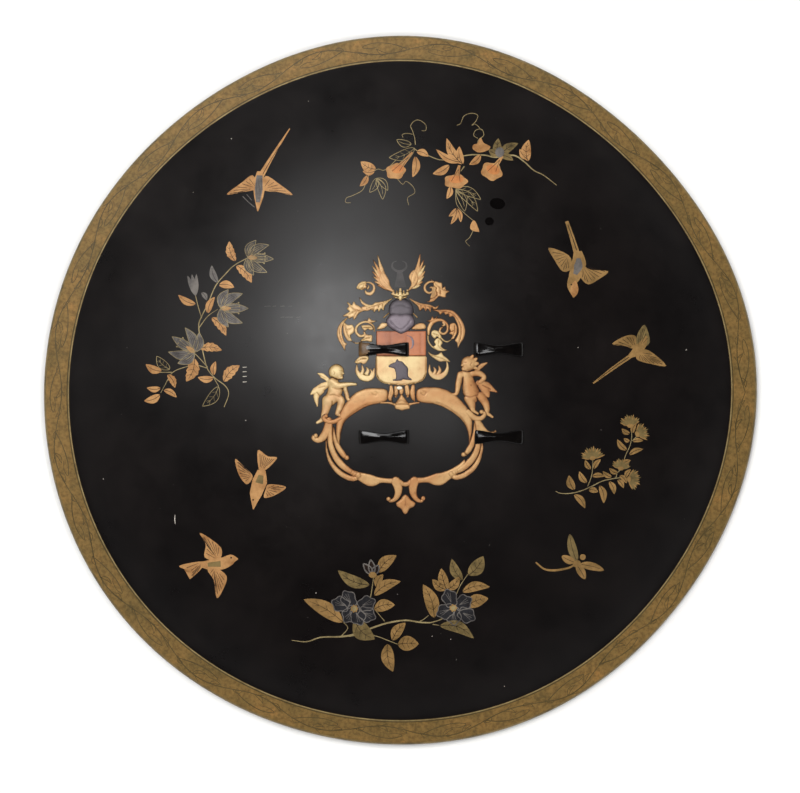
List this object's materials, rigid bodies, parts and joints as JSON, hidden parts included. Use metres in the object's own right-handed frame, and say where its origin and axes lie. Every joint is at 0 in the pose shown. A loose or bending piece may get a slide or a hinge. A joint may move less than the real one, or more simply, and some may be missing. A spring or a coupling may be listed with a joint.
{
  "type": "lacquered round shield",
  "caption": "Shallow domed round shield of black-lacquered hide with a flat gilt brim, raised and painted gold ornament, and hand straps tied through the crown with thongs.",
  "frame": {"origin": "middle of the flat ring under the brim that the shield lies on, on the surface it lies on", "axes": "+Z out of the painted face, +Y towards the top of the painted arms, +X to the right of the painted face"},
  "size_m": [0.7132, 0.7092, 0.1003],
  "materials": {
    "black_lacquer": "polished black lacquer over hide",
    "gold_lacquer": "satin gold powder in lacquer, raised and painted",
    "thong_leather": "black-lacquered leather thong, glossy",
    "strap_leather": "plain dark leather, satin"
  },
  "bodies": {
    "root": {"lacquered_hide": "black_lacquer", "hand_strap_left": "strap_leather", "hand_strap_right": "strap_leather", "thong_upper_left": "thong_leather", "thong_lower_left": "thong_leather", "thong_upper_right": "thong_leather", "thong_lower_right": "thong_leather"}
  },
  "joints": []
}
